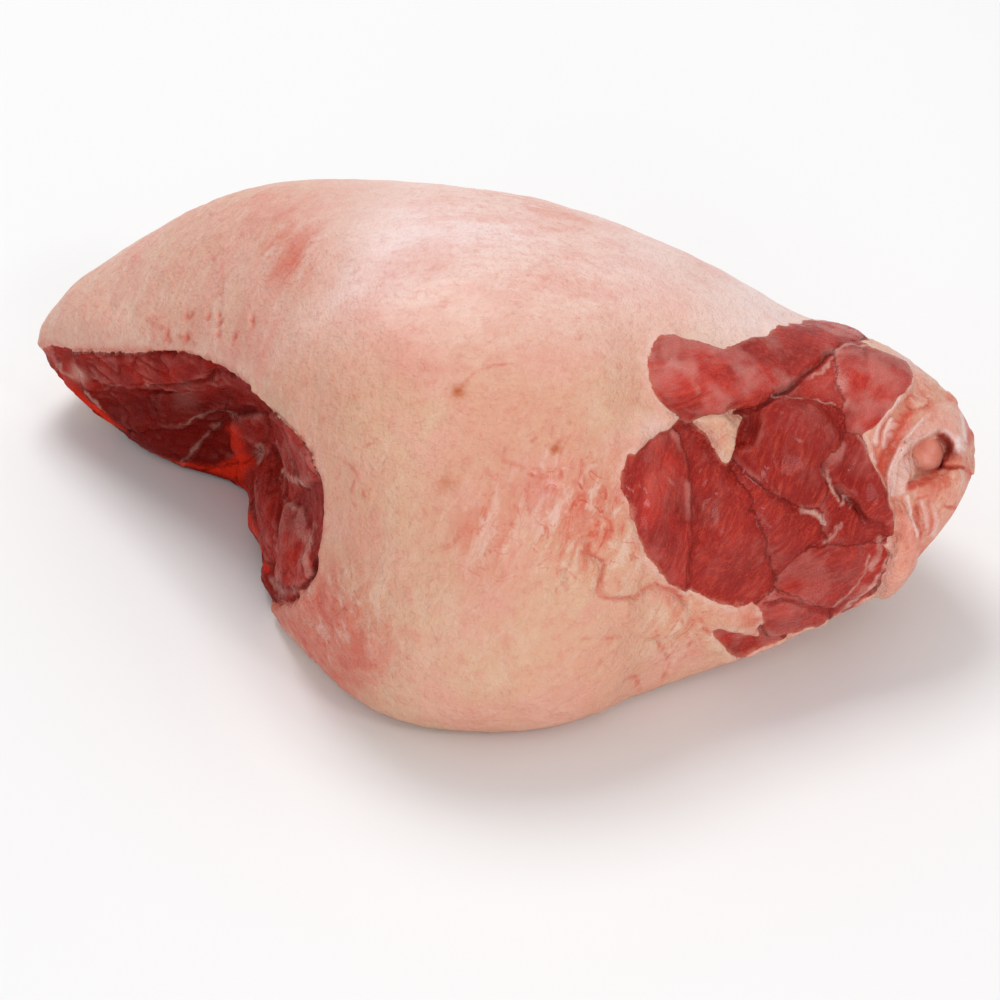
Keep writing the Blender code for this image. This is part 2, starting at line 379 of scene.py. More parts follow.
def fatColour(tree, place, fine, speckle):
    broad, tan, wide, patch = (attribute(tree, name) for name in ("broad", "tan", "wide", "patch"))
    colour = blendColour(tree, remap(tree, broad, 0.42, 0.60), fatColours["pinkWhite"], fatColours["cream"])
    warm = blendColour(tree, remap(tree, tan, 0.42, 0.58), fatColours["warm"], fatColours["tan"])
    # the warm mask: the fat's own warmer tone lower down, partly painted shade
    colour = blendColour(tree, attribute(tree, "warm"), colour, warm)
    combed = attribute(tree, "combed", "Vector")
    thin = grainNoise(tree, place, 700, 2, 0.5, 0.3, (0.12, 0.8, 1.0))
    thinSide = grainNoise(tree, combed, 0.60, 2, 0.5, 0.3, (0.14, 1.0, 1.0))
    mottle = grainNoise(tree, combed, 0.30, 4, 0.72, 0.35, (0.40, 1.0, 1.0))
    grains = {
        "patch": patch,
        "wide": wide,
        "thin": blendColour(tree, attribute(tree, "side"), thin, thinSide),
        "fine": fine,
        "speckle": speckle,
        "mottle": maths(tree, "ADD", product(tree, mottle, 0.6), product(tree, wide, 0.4)),
    }
    colour = laidOver(tree, colour, fatLayers, grains, fatColours)
    middle = maths(tree, "SUBTRACT", grainNoise(tree, place, 80, 2, 0.5, 1.0), 0.5)
    threads = remap(tree, maths(tree, "ABSOLUTE", middle), 0.005, 0.020, 0.9, 0)
    threads = product(tree, threads, attribute(tree, "rosy"), remap(tree, fine, 0.46, 0.56))
    colour = blendColour(tree, threads, colour, fatColours["raw"])
    return laidOver(tree, colour, fatMarks, grains, {**fatColours, "deep": leanColours["deep"]})


def makeLegMaterial(name, sheen):  # fat cover, with the lean of both cut faces where the lean mask says
    material, tree, shader = startMaterial(name)
    place = node(tree, "TexCoord").outputs["Object"]
    fine = grainNoise(tree, place, 260, 3, 0.65)
    speckle = grainNoise(tree, place, 800, 2, 0.7)
    grain = attribute(tree, "grain", "Vector")
    torn = remap(tree, speckle, 0.3, 0.7, -0.07, 0.07)
    torn = maths(tree, "ADD", remap(tree, fine, 0.3, 0.7, -0.14, 0.14), torn)
    lean = remap(tree, maths(tree, "ADD", attribute(tree, "lean"), torn), 0.46, 0.56)
    filmy = remap(tree, attribute(tree, "lean"), 0.98, 0.60, 0, 0.7)
    filmy = product(tree, filmy, remap(tree, fine, 0.4, 0.6))
    red = blendColour(tree, filmy, leanColour(tree, grain), fatColours["rosy"])
    colour = blendColour(tree, lean, fatColour(tree, place, fine, speckle), red)
    tree.links.new(colour, shader.inputs["Base Color"])
    setGloss(shader, sheen)
    fatRough = remap(tree, attribute(tree, "patch"), 0.3, 0.7, 0.38, 0.55)
    wetter = product(tree, lean, remap(tree, speckle, 0.4, 0.6, 0.08, 0.22))
    wetter = maths(tree, "ADD", wetter, product(tree, attribute(tree, "gristle"), 0.22))
    tree.links.new(maths(tree, "SUBTRACT", fatRough, wetter), shader.inputs["Roughness"])
    fibres = grainNoise(tree, grain, 2.2, 3, 0.65, stretch=(0.20, 1.0, 1.0))
    leanHeight = product(tree, maths(tree, "ADD", fibres, product(tree, speckle, 0.9)), lean, 1.3)
    waxy = maths(tree, "ADD", speckle, product(tree, fine, 1.8))
    fatHeight = product(tree, waxy, maths(tree, "SUBTRACT", 1.0, lean))
    bumpMap(tree, shader, maths(tree, "ADD", leanHeight, fatHeight), 0.0008, 0.8)
    return material


legMaterial = makeLegMaterial("legSkin", "skin")
hipMaterial = makeLegMaterial("hipSkin", "hip")
print("materials ready")

# outline on the front sheet, height, edge round, lift, grain angle, share of deep red, share of film
shankMuscles = {
    "heelMuscle": ([(47, 44), (51, 51), (62, 49), (70, 47), (81, 51), (96, 55), (114, 53), (104, 47),
        (96, 40), (86, 34), (76, 29), (61, 25), (52, 29), (47, 36)], 2.8, 6.0, 1.4, 20, 0.0, 0.66),
    "outerRound": ([(53, 22), (56, 16), (58, 5), (59, -5), (59, -17), (57, -26), (51, -23), (46, -16),
        (41, -4), (38, 5), (39, 12), (43, 17), (48, 19)], 2.0, 5.0, 1.6, 75, 0.1, 0.12),
    "innerRound": ([(54, 22), (57, 24), (63, 21), (70, 13), (75, 8), (79, 3), (83, -8), (86, -19),
        (87, -27), (82, -32), (74, -33), (65, -31), (59, -26), (59, -14), (59, -4), (58, 8),
        (56, 17)], 2.0, 7.0, 0.0, 60, 0.5, 0.05),
    "capLeft": ([(84, 33), (96, 40), (104, 46), (108, 42), (108, 30), (100, 32),
        (92, 32)], 1.6, 5.0, 0.8, 35, 0.2, 0.15),
    "capRight": ([(107, 48), (114, 49), (124, 46), (129, 42), (130, 38), (127, 32), (122, 26), (117, 21),
        (112, 19), (109, 22), (108, 30), (107, 40)], 2.2, 6.0, 1.4, 60, 0.0, 0.6),
    "broadThigh": ([(76, 23), (84, 32), (92, 31), (101, 30), (107, 28), (109, 22), (104, 13), (102, 6),
        (101, -1), (96, -2), (88, 2), (82, 6), (76, 12), (74, 17)], 2.4, 6.0, 1.2, 70, 0.8, 0.02),
    "shankFlap": ([(109, 19), (114, 18), (118, 12), (122, 3), (124, -4), (122, -9), (118, -6), (114, -1),
        (109, 3), (105, 5), (102, 10), (104, 14)], 1.8, 2.5, 2.6, 60, 0.7, 0.1),
    "middleThigh": ([(75, 12), (82, 5), (88, 1), (96, -3), (102, -3), (103, -13), (98, -16), (92, -19),
        (88, -24), (86, -19), (84, -9), (79, 3)], 2.0, 5.0, 0.3, 45, 0.6, 0.0),
    "underFlap": ([(105, 4), (109, 1), (114, -2), (120, -9), (118, -13), (109, -14), (103, -13),
        (102, -7), (102, 0)], 1.6, 3.5, 1.0, 60, 0.8, 0.05),
    "lowThigh": ([(88, -25), (92, -20), (101, -16), (109, -16), (119, -14), (121, -19), (116, -27),
        (109, -30), (104, -33), (92, -29)], 2.4, 4.5, 0.8, 20, 0.3, 0.25),
    "lowNub": ([(83, -33), (88, -30), (96, -31), (102, -35), (101, -39), (93, -41), (87, -42),
        (84, -39)], 2.0, 4.0, 0.8, 10, 0.3, 0.25),
    "lowStrip": ([(119, -18), (114, -28), (105, -36), (112, -34),
        (121, -20)], 1.2, 2.0, 0.2, 50, 0.55, 0.25),
    "redPatch": ([(68, -41), (77, -43), (86, -42), (88, -45), (80, -48), (75, -50),
        (71, -46)], 0.7, 2.5, 0.0, 0, 0.1, 0.6),
}
hipMuscles = {
    "rimMuscle": ([(-133, 46), (-119, 45), (-106, 45), (-96, 44), (-93, 41), (-97, 37), (-109, 37),
        (-120, 37), (-130, 37), (-132, 41)], 2.4, 3.0, 1.0, 0, 0.35, 0.06),
    "flapBelly": ([(-130, 35), (-115, 35), (-102, 37), (-91, 37), (-86, 32), (-90, 26), (-101, 24),
        (-112, 23), (-119, 24), (-126, 30)], 2.6, 4.0, 0.3, 5, 0.6, 0.04),
    "leafLeft": ([(-115, 21), (-101, 24), (-88, 26), (-96, 17), (-102, 9), (-106, 6), (-113, 12),
        (-117, 17)], 1.6, 4.0, 0.0, 50, 1.0, 0.0),
    "leafRight": ([(-87, 26), (-82, 23), (-82, 14), (-88, 11), (-97, 10), (-101, 10),
        (-95, 17)], 1.4, 3.0, -0.8, 50, 0.6, 0.0),
    "boneEnd": ([(-84, 23), (-80, 25), (-74, 26), (-73, 21), (-78, 15),
        (-82, 14)], 2.0, 3.0, 2.0, 30, 0.35, 0.1),
    "underRim": ([(-91, 37), (-83, 37), (-75, 31), (-73, 27), (-80, 26), (-86, 28),
        (-86, 33)], 2.0, 3.0, 0.4, 20, 0.8, 0.1),
    "wallUpper": ([(-72, 26), (-68, 26), (-63, 19), (-59, 12), (-59, 8), (-63, 6), (-68, 13),
        (-71, 20)], 2.0, 3.0, 1.6, 75, 0.1, 0.4),
    "wallLong": ([(-81, 13), (-77, 15), (-70, 19), (-68, 13), (-64, 5), (-68, -1), (-70, -9), (-72, -19),
        (-75, -13), (-80, -3), (-82, 6)], 2.4, 4.5, 1.0, 80, 0.1, 0.1),
    "wallFront": ([(-69, -3), (-65, -2), (-62, -9), (-61, -17), (-62, -25), (-68, -26), (-70, -19),
        (-70, -10)], 1.8, 3.0, 1.4, 80, 0.1, 0.3),
    "wallEdge": ([(-64, 6), (-60, 6), (-59, -1), (-58, -10), (-60, -19), (-62, -14), (-62, -6),
        (-64, 0)], 1.2, 2.5, 0.6, 80, 0.6, 0.15),
    "wallFoot": ([(-73, -19), (-68, -26), (-62, -26), (-65, -30), (-69, -32),
        (-74, -27)], 1.4, 2.5, 0.8, 30, 0.55, 0.2),
}
gaps = {  # clefts, cut in and darkened with painted shade: route on the front sheet, half width, how deep
    "thighCleft": ([(74, 28), (78, 27), (79, 24), (77, 19)], 2.2, 2.8),
    "heelUnder": ([(79, 29), (85, 32), (92, 36), (99, 41), (104, 46)], 0.8, 1.3),
    "roundSeam": ([(59, -10), (60, -18), (58, -26)], 0.6, 0.8),
    "flapShade": ([(102, 11), (105, 4), (112, -2), (120, -8)], 0.8, 1.3),
    "nubShade": ([(84, -33), (90, -32), (97, -33), (103, -36)], 0.6, 0.9),
    "lobeFold": ([(26, -17), (32, -19), (32, -25), (31, -30), (36, -31), (43, -29)], 0.4, 0.35),
    "lobeCrease": ([(44, -28), (52, -27), (58, -32)], 0.4, 0.5),
    "lowCrease": ([(50, -45), (53, -51), (51, -58)], 0.4, 0.5),
    "rimShade": ([(-127, 37), (-115, 36), (-101, 36), (-92, 38)], 0.8, 1.3),
    "boneShade": ([(-92, 27), (-85, 28), (-78, 28)], 1.0, 1.5),
    "wallSeam": ([(-70, 17), (-66, 6), (-69, -2), (-70, -12)], 0.7, 1.1),
    "footFold": ([(-73, -31), (-69, -33), (-64, -31)], 0.7, 1.1),
}
kneeFinish = {"film": 0.40, "hood": 0.18, "gristle": 0.42, "hoodGristle": 0.28, "uneven": 0.25}
kneeEnd = {"gristle": (0.40, 118, 134), "rosy": (0.7, 116, 130)}  # strength, mm along the leg from and to
kneeArea = [(128, 44), (131, 40), (130.4, 35.5), (125.3, 32), (120, 25), (118, 20.4), (114.6, 19.4),
    (116.8, 12.7), (120.2, 6.9), (121.6, 3), (122.6, -2), (123.6, -9.5), (126, -20), (134, -24),
    (146, -16), (154, -4), (158, 12), (156, 30), (142, 44)]
kneeForms = {  # outline on the front sheet, rise toward the eye, width of the edge
    "bowl": ([(126.8, 12.8), (129, 13.4), (131.6, 12), (129.6, 8), (128, 4.4), (131, 5.4), (134.5, 6.8),
        (137.5, 8.6), (140, 10.4), (141, 13), (142.6, 16), (141.8, 19.5), (138.5, 21), (134, 20),
        (129.5, 16.8)], -3.6, 2.0),
    "hood": ([(133, 26), (137, 30), (142, 31.5), (146, 29.5), (146.4, 24), (147.3, 20), (147, 16.5),
        (145, 14.8), (143, 15.5), (142.6, 18.5), (141, 20.8), (138, 21.6), (134.5, 20.8), (131, 18.6),
        (127.8, 15), (125.6, 11.5), (124.3, 7), (123.6, 2), (121.6, 1.5), (122, 8), (124.4, 14),
        (127, 18.5), (130, 22)], 2.4, 1.4),
    "wedge": ([(140.8, 14), (144, 14.8), (148, 14.5), (148.2, 11), (143.4, 10.5), (139.8, 11)], 1.2, 1.0),
    "film": ([(124.6, 3), (125.4, 9), (127, 13), (128.8, 13.5), (131.6, 12), (129.4, 8), (127.4, 3.6),
        (126, 2)], -0.6, 1.2),
    "lobe": ([(130.2, 4.2), (134.5, 5.6), (138, 7.6), (141, 9), (144, 9.2), (147.4, 7), (147.5, 1),
        (143.5, -4.5), (139.5, -10), (135.5, -13), (132.5, -7), (131, -1), (129.4, 3)], 1.8, 3.0),
}
kneeRoutes = {  # routes on the front sheet
    "innerEdge": [(123.8, 2), (124.6, 8), (126, 12.6), (128.6, 16.4), (132, 19.2), (136, 21.2),
        (139.8, 21.8), (142.4, 20.4), (143.6, 17.6), (144.6, 15.8)],
    "outerEdge": [(122.2, 1.6), (122.8, 8), (125, 14), (127.6, 18.4), (131, 22.2), (133.6, 25.4)],
    "nub": [(144.8, 18.5), (145.4, 16.6)],
    "strandLong": [(126, 32), (122.5, 28), (120.2, 24.8), (118.9, 21), (118.5, 18)],
    "strandMiddle": [(123.5, 25.5), (121.8, 21), (121.2, 17)],
    "strandLow": [(115.3, 20), (116.8, 15.8), (118.2, 11.6)],
    "ring": [(128.6, 31.2), (130, 32.5), (132.5, 32.7), (134.8, 31.6), (133.6, 30.1), (131, 29.6),
        (129, 30.3), (128.6, 31.2)],
    "fascia": [(137.3, 39), (141.5, 34.6), (145.6, 30), (146.2, 24)],
    "frillLeft": [(128.6, 1.4), (129.4, -4), (130, -10)],
    "frillMiddle": [(132.8, -0.2), (134, -4), (134.4, -8)],
    "frillRight": [(136, -1), (137.5, -6), (137, -11)],
    "channel": [(129, 28.5), (126.6, 23.5), (124, 18), (121.6, 13.2), (120.4, 9.4), (121.4, 3)],
    "crevice": [(138.6, 20.6), (141, 18.2), (142, 15), (139.6, 12.4), (138.4, 10.6)],
    "crease": [(138.4, 10.6), (142, 10.4), (146, 10.4), (148, 9), (148.6, 6.6)],
    "rimCrease": [(146.9, 28.6), (147.4, 23), (147.8, 18)],
    "lobeCut": [(140.4, -1.6), (144, -2.4)],
    "frillCut": [(131, -2), (131.8, -7), (132.6, -12)],
    "underBall": [(129, 4.4), (133, 5.4), (137.2, 8.2)],
    "filmTop": [(127.8, 12.9), (131.4, 11.9)],
    "ringRed": [(128, 31.2), (129.8, 33.2), (132.6, 33.5), (135.6, 31.7), (134, 29.4), (131, 28.8),
        (128.4, 29.8), (128, 31.2)],
    "rim": [(147.9, 26.4), (148.8, 22.5), (147.7, 18.6)],
    "wedge": [(141.6, 12.4), (147, 12.4)],
    "lobeTop": [(132, 3), (137, 5.4), (141, 7.4)],
    "tendonTop": [(124.6, 0), (125.8, -5), (125.6, -11)],
    "frillFoot": [(128.6, -9), (131, -14), (134, -16)],
    "strands": [(121.8, 27), (120.3, 21.5), (119.6, 17)],
    "strandsLow": [(118.3, 17.6), (118.9, 12.5), (119.6, 9.5)],
    "hoodTop": [(134.8, 29.6), (137.2, 28), (136, 25.6)],
    "lobeLine": [(131.6, 0.6), (134.6, 1.8)],
    "frillCutRight": [(135, 0), (136, -5), (135.4, -11)],
    "tendonSlit": [(123.8, -24.2), (127.6, -22.6)],
    "tendonSide": [(126.8, 1), (126.2, -6), (126.8, -14)],
    # the nub's own pale colour with a painted highlight on it
    "nubPaleAndHighlight": [(144.8, 19), (145.4, 16.4)],
    "fasciaWhite": [(137.3, 39), (141.5, 34.6), (145.6, 30), (146.2, 24), (147, 19)],
    "filmFoot": [(127.6, 9), (127.2, 5), (126.4, 3)],
}


def alongKnee(rows):  # rows with their routes
    return {name: (kneeRoutes[name], half, strong) for name, half, strong in rows}


kneeLines = alongKnee([  # half width, rise toward the eye
    ("innerEdge", 0.9, 1.1), ("outerEdge", 0.8, 1.0), ("nub", 1.6, 1.2), ("strandLong", 1.2, 1.3),
    ("strandMiddle", 0.8, 1.0), ("strandLow", 0.9, 1.1), ("ring", 0.7, 0.9), ("fascia", 0.5, 0.7),
    ("frillLeft", 0.6, 0.9), ("frillMiddle", 0.9, 0.8), ("frillRight", 0.9, 0.8), ("channel", 1.5, -1.2),
    ("crevice", 1.1, -2.5), ("crease", 0.6, -1.8), ("rimCrease", 0.6, -1.2), ("lobeCut", 0.5, -0.9),
    ("frillCut", 0.6, -0.8)])
kneeReds = alongKnee([  # where the knee is red: half width, strength
    ("channel", 2.6, 0.95), ("underBall", 1.6, 1.0), ("crease", 0.8, 1.0), ("filmTop", 0.4, 0.9),
    ("ringRed", 0.5, 0.75), ("rim", 1.4, 1.0), ("wedge", 2.0, 0.35), ("lobeTop", 1.4, 0.45),
    ("tendonTop", 1.4, 0.45), ("frillFoot", 1.6, 0.4), ("strands", 0.7, 0.7), ("strandsLow", 0.8, 0.7),
    ("hoodTop", 0.9, 0.6), ("lobeLine", 0.5, 0.8), ("lobeCut", 0.6, 0.8), ("frillCut", 0.7, 0.7),
    ("frillCutRight", 0.5, 0.6), ("tendonSlit", 0.5, 0.9), ("tendonSide", 0.7, 0.5)])
kneeWhites = alongKnee([  # where it is glossy and pale, with a painted highlight on the nub: half width, strength
    ("innerEdge", 0.9, 0.65), ("outerEdge", 0.7, 0.55), ("nubPaleAndHighlight", 1.5, 0.95),
    ("fasciaWhite", 0.5, 0.85), ("filmFoot", 1.3, 0.5), ("frillLeft", 0.5, 0.8),
    ("strandLong", 1.1, 0.55), ("strandMiddle", 0.8, 0.5), ("strandLow", 0.9, 0.5),
    ("frillMiddle", 0.8, 0.35), ("frillRight", 0.8, 0.35)])
# painted shade deep in the knee's crevice
kneeCreviceShade = {"crevice": ([(139.2, 20.4), (141.2, 18.2), (141.8, 15), (139.6, 12.4), (138.4, 10.6)], 1.3, 0.9)}
sinews = {  # pale seams: route on the front sheet, half width, strength
    "capFilm": ([(98, 38), (102, 41.5), (106, 45.5), (110, 48), (116, 48)], 0.45, 0.8),
    "thighFilm": ([(86, 33), (92, 32), (100, 31), (106, 29)], 0.3, 0.7),
    "flapSeam": ([(112, 19), (117, 13), (121, 6), (123, 0), (123, -4)], 0.7, 0.9),
    "flapRagged": ([(102, 9), (104, 4), (106, 0)], 0.45, 0.8),
    "flapTip": ([(107, -1), (109, 1), (110, -2)], 0.4, 0.8),
    "raggedLeft": ([(95, -3), (99, -4), (102, -7)], 0.8, 0.9),
    "raggedRight": ([(102, -13), (105, -11), (107, -7)], 0.45, 0.8),
    "tendonFilm": ([(124, -2), (124, -10), (121, -21), (115, -29), (107, -36)], 0.5, 0.9),
    "tendonBits": ([(120, -12), (119, -16), (117, -20)], 1.2, 0.7),
    "lowFilm": ([(116, -17), (112, -26), (105, -33)], 0.35, 0.6),
    "heelFleck": ([(60, 37), (62, 34)], 0.7, 0.4),
    "roundFleck": ([(52, 6), (53, 4)], 0.6, 0.4),
    "rimLine": ([(-142, 41), (-133, 36), (-128, 32), (-125, 27)], 0.4, 0.6),
    "beltLine": ([(-126, 37), (-118, 36), (-110, 36)], 0.5, 0.45),
    "leafEdge": ([(-89, 24), (-96, 17), (-100, 12), (-105, 7)], 0.45, 0.4),
    "foldEdge": ([(-101, 24), (-90, 28), (-82, 26)], 0.4, 0.35),
    "boneTendon": ([(-75, 18), (-74, 15), (-75, 12)], 0.9, 0.5),
    "wallTop": ([(-68, 9), (-65, 7), (-61, 5)], 0.8, 0.8),
    "wallTip": ([(-68, 0), (-66, -2), (-64, -3)], 0.6, 0.7),
    "wallSilver": ([(-59, -7), (-60, -15), (-61, -24)], 0.5, 0.6),
    "footFilm": ([(-72, -25), (-69, -28), (-65, -29)], 1.2, 0.4),
}
juiceSheenEdges = {  # orange-red juice with a painted reflection along an edge: route on the front sheet, half width, strength
    "flapLeft": ([(-146, 38), (-137, 31), (-128, 25), (-122, 18), (-113, 9)], 3.4, 1.0),
    "leafFoot": ([(-104, 6), (-93, 5), (-84, 9), (-81, 13)], 3.6, 1.0),
    "boneSmear": ([(-84, 22), (-82, 18)], 2.6, 0.7),
    "wallFoot": ([(-81, 0), (-76, -12), (-74, -22)], 0.9, 0.6),
}
fatLumps = {  # outline, height, edge round, how much like gristle
    "lumpLeft": ([(44, 28), (55, 26), (53, 22), (47, 19), (41, 13), (39, 18), (41, 24)], 2.0, 3.0, 0),
    "lumpMiddle": ([(60, 25), (66, 27), (73, 24), (74, 19), (73, 12), (70, 13), (64, 20),
        (60, 23)], 3.2, 2.5, 0),
    "sideLobe": ([(27, -8), (31, -5), (39, -5), (43, -10), (45, -18), (44, -25), (40, -30), (33, -30),
        (32, -24), (32, -19), (27, -17), (26, -12)], 2.6, 6.0, 0),
    "sideLobeLow": ([(20, -20), (27, -19), (31, -20), (31, -28), (26, -31), (20, -28)], 1.2, 4.0, 0),
    "lowLobe": ([(37, -31), (51, -27), (57, -32), (60, -40), (51, -45), (40, -41)], 2.3, 6.0, 0),
    "rowLobeLeft": ([(59, -32), (66, -33), (67, -39), (61, -40)], 1.0, 3.0, 0),
    "rowLobeMiddle": ([(67, -34), (74, -35), (75, -40), (68, -40)], 1.0, 3.0, 0),
    "rowLobeRight": ([(75, -35), (82, -34), (82, -40), (76, -40)], 1.0, 3.0, 0),
    "capFascia": ([(114, 50), (125, 48), (132, 42), (138, 37), (135, 35), (130, 40), (124, 45),
        (116, 48)], 0.6, 2.0, 0.5),
    "kneeEdge": ([(141, 40), (149, 30), (153, 19), (152, 12), (149, 8), (149, 14), (149, 19), (146, 28),
        (140, 35)], 1.4, 3.0, 0.1),
    "kneeTendon": ([(125, 0), (129, -5), (132, -13), (130, -20), (126, -28), (119, -33), (119, -26),
        (124, -16)], 2.8, 4.0, 1.0),
}
body = {"voxel": 0.0029, "smoothings": 5, "lip": 0.9, "faceSunk": 1.8, "grow": 1.8, "blend": 0.65}
fades = {  # where a change starts and is full: mm along, up the front sheet, or above the floor
    "hipFoot": (-25.5, -24.5), "hipInward": (-78, -90), "hipBelow": (38, 30), "hipWrinkled": (-66, -84),
    "flap": (-62, -92), "top": (44, 72), "side": (25, 45), "warm": (28, 82), "creased": (30, 75),
    "wetFoot": (2, 6), "flatRest": (0.5, 3.0),
}
ends = {"shank": 20, "knee": 95, "hip": -35, "hipRim": -40}  # mm along the leg where a face starts
muscle = {  # sizes are mm along, across and between muscles, the next three are mm in or out, the last three are shares of painted shadow under a higher muscle, painted highlight on its edge and painted shade along each muscle's edge
    "bundle": (26, 7, 9), "strand": (13, 4, 9), "fibre": (9, 1.8, 9), "swell": 0.7, "groove": 0.8,
    "fibreHigh": 0.16, "shadow": 0.60, "lit": 0.45, "edgeShade": 0.12,
}
relief = {  # mm in or out
    "swell": 0.9, "lump": 0.4, "pore": 0.16, "crease": 0.35, "fold": 2.5, "nickEdge": 0.5,
    "beside": 0.8, "besideFine": 0.2, "hipLump": 0.7, "hipWrinkle": 1.1, "sinew": 0.25,
}
combAngle = math.radians(68)  # the way the streaks of the fat run on the flap and the front
# the hip's cut face: its rim in the frame's mm, its foot on the floor, and how far it is hollowed
hipRim = [(-185, 104, 12), (-155, 70, 28), (-143, 56, 38), (-120, 33, 54), (-99, 11, 68), (-79, -20, 79),
    (-62, -47, 84), (-53, -67, 76), (-52, -74, 58), (-58, -68, 36), (-72, -48, 14)]
hipFoot = [(-185, 104), (-155, 72), (-145, 64), (-123, 50), (-99, 34), (-83, 26), (-79, 8), (-76, -10),
    (-73, -26), (-72, -38), (-73, -48)]
hipOutline = [(-144, 48), (-133, 47), (-118, 46.5), (-106, 47), (-98, 46.5), (-92, 44), (-86, 41),
    (-79, 36), (-73, 30), (-69, 26), (-64, 21), (-60, 15), (-57.5, 8), (-56, 2), (-56, -8), (-57, -16),
    (-58, -23), (-62, -28), (-69, -30), (-78, -29), (-84, -10), (-86, 6), (-104, 2), (-124, 12),
    (-152, 38)]
hipHollow = [0, 0, 3, 8, 12, 14, 10, 5, 0, 0, 0]
hipFace = {"along": 160, "upward": 40, "reach": 7, "top": 0.94}  # samples, mm, share of the rise
paintSpots = {  # (place on the front sheet, reach, strength)
    "blush": [((-66, 79), 14, 1.0), ((-48, 80), 9, 0.5), ((-100, 55), 12, 0.4), ((8, 5), 12, 0.5),
        ((28, -4), 14, 0.6), ((40, -34), 14, 0.2), ((-80, 50), 12, 0.5), ((135, 20), 18, 0.5),
        ((136, -8), 14, 0.7), ((-30, 40), 14, 0.4), ((-10, -8), 9, 0.5), ((-56, -42), 24, 1.0)],
    "rosy": [((138, 12), 26, 0.9), ((130, -15), 18, 0.8), ((-58, -40), 26, 1.0), ((27, -5), 26, 1.0),
        ((57, -38), 16, 0.6), ((84, -38), 16, 0.7), ((0, -10), 22, 0.6), ((112, -34), 10, 0.8),
        ((-105, 52), 16, 0.25), ((-66, 79), 14, 0.7), ((30, -10), 14, 1.0), ((67, 20), 9, 0.6),
        ((45, 20), 8, 0.5)],
    "raw": [((-60, -36), 14, 0.5), ((-68, -30), 8, 0.6), ((-46, -52), 12, 0.6), ((14, 3), 5, 0.5),
        ((56, -30), 5, 0.4), ((80, -38), 5, 0.5), ((112, -33), 6, 0.6)],
    "silver": [((84, 62), 26, 0.85), ((50, 78), 20, 0.4), ((100, 57), 12, 0.5), ((130, 45), 8, 0.5),
        ((46, 22), 7, 0.35), ((-40, 92), 26, 0.35)],
    "spot": [((-13.2, 34), 2.6, 1.0), ((-11.4, 36.4), 1.6, 0.9), ((17.4, 16), 2.0, 1.0),
        ((-16.6, 5.4), 4.0, 0.45)],
    "pale": [((-133.4, 39), 3.2, 1.0), ((-99, 33), 4.5, 0.14), ((-75, 15), 2.0, 0.5)],
}
veins = {  # thin red veins: route on the front sheet, half width, strength
    "left": ([(-49, 12), (-45, 8), (-43, 1)], 0.4, 0.8),
    "leftBranch": ([(-45, 8), (-47, 3), (-46, -2)], 0.35, 0.5),
    "upper": ([(-46, 16), (-42, 17), (-38, 20), (-35, 23)], 0.4, 0.8),
    "spotTail": ([(-12, 36), (-8, 40), (-3, 42), (4, 43)], 0.45, 0.7),
    "midLeft": ([(-2, 15.5), (1, 13), (5, 11), (9, 8.5), (13.6, 7)], 0.7, 0.9),
    "midUp": ([(5, 29), (6, 24), (3, 19), (1, 13)], 0.6, 0.5),
    "midRise": ([(15, 27), (13, 22), (10, 18.5)], 0.5, 0.5),
    "midRight": ([(26, 12), (27, 4), (26, -4)], 0.45, 0.7),
    "midBranch": ([(22, 20), (19, 13), (20, 6)], 0.4, 0.7),
    "low": ([(53, -27), (59, -32), (63, -38), (66, -41.5)], 0.55, 0.9),
    "lowBranch": ([(52, -30), (54, -34), (58, -39), (60, -46)], 0.5, 0.8),
    "lowLeft": ([(24, -44), (31, -44), (38, -43)], 0.45, 0.6),
    "lowLeftUnder": ([(25, -56), (31, -52), (35, -48)], 0.45, 0.6),
    "lowCut": ([(39.6, -57), (43, -55.5), (43.4, -60)], 0.6, 0.9),
    "flapRight": ([(-88, 76), (-87.5, 66), (-88, 56), (-87, 47)], 0.55, 0.5),
    "flapRow": ([(-113, 58), (-106, 54), (-100, 51), (-96, 49)], 0.6, 0.7),
    "flapFold": ([(-119, 79), (-114, 75), (-106, 72.5), (-97, 73), (-90, 78)], 0.9, 0.25),
    "lobeEdge": ([(27, -17), (32, -19), (32, -27), (34, -31), (42, -30)], 0.5, 0.7),
    "sideStreak": ([(23, 12), (24, 4), (27, -6)], 0.55, 0.6),
    "sideStreakRight": ([(31, 4), (33, -2), (33, -6)], 0.6, 0.6),
    "flapTop": ([(-94, 83), (-91, 76), (-92, 70)], 0.45, 0.7),
}
noises = {  # size in mm, seed, layers
    "tone": (12, 701, 3), "haze": (6.5, 711, 3), "patch": (18, 721, 4), "broad": (50, 731, 4),
    "tan": (36, 741, 4),
}
nicks = {"seed": 7, "count": 14, "low": (-106, 44), "high": (-78, 60), "long": 1.8, "wide": 0.7, "deep": 0.6}


def applyModifiers(piece):
    graph = bpy.context.evaluated_depsgraph_get()
    made = bpy.data.meshes.new_from_object(piece.evaluated_get(graph))
    piece.modifiers.clear()
    piece.data = made
    return made


